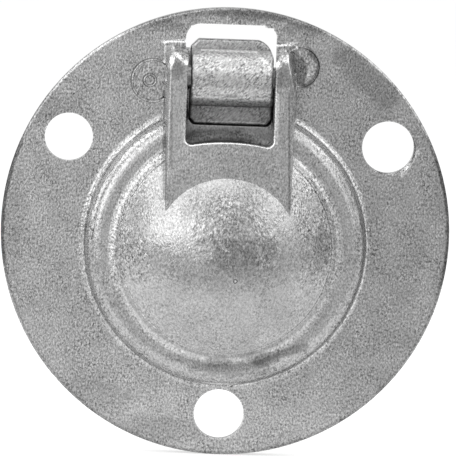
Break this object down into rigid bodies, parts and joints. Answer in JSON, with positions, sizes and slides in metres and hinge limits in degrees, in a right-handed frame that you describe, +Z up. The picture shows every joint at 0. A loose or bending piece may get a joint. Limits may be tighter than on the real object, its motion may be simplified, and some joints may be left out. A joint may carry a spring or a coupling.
{
  "type": "flush pull ring",
  "caption": "Round flush pull ring: a countersunk cast plate with a recessed finger cup and a hinged lifting ring that stows level with the face.",
  "frame": {"origin": "centre of the screw circle on the plate's back face, which is the plate's own centre", "axes": "+Y out of the back, into the deck or door, through cup and hinge housing; -Y towards the hand; +Z up to the hinge; the plate stands upright"},
  "size_m": [0.0572, 0.0118, 0.0572],
  "materials": {
    "cup_plate": "as-cast, bead blasted satin",
    "pull_ring": "as-cast, bead blasted satin",
    "hinge_pin": "drawn bar"
  },
  "bodies": {
    "plate": {"cup_plate": "cup_plate", "hinge_pin": "hinge_pin"},
    "ring": {"pull_ring": "pull_ring"}
  },
  "joints": [
    {"name": "ring_hinge", "type": "hinge", "parent": "plate", "child": "ring", "pos_m": [0, 0.0026, 0.0198], "axis": [-1, 0, 0], "range_deg": [0, 100]}
  ]
}
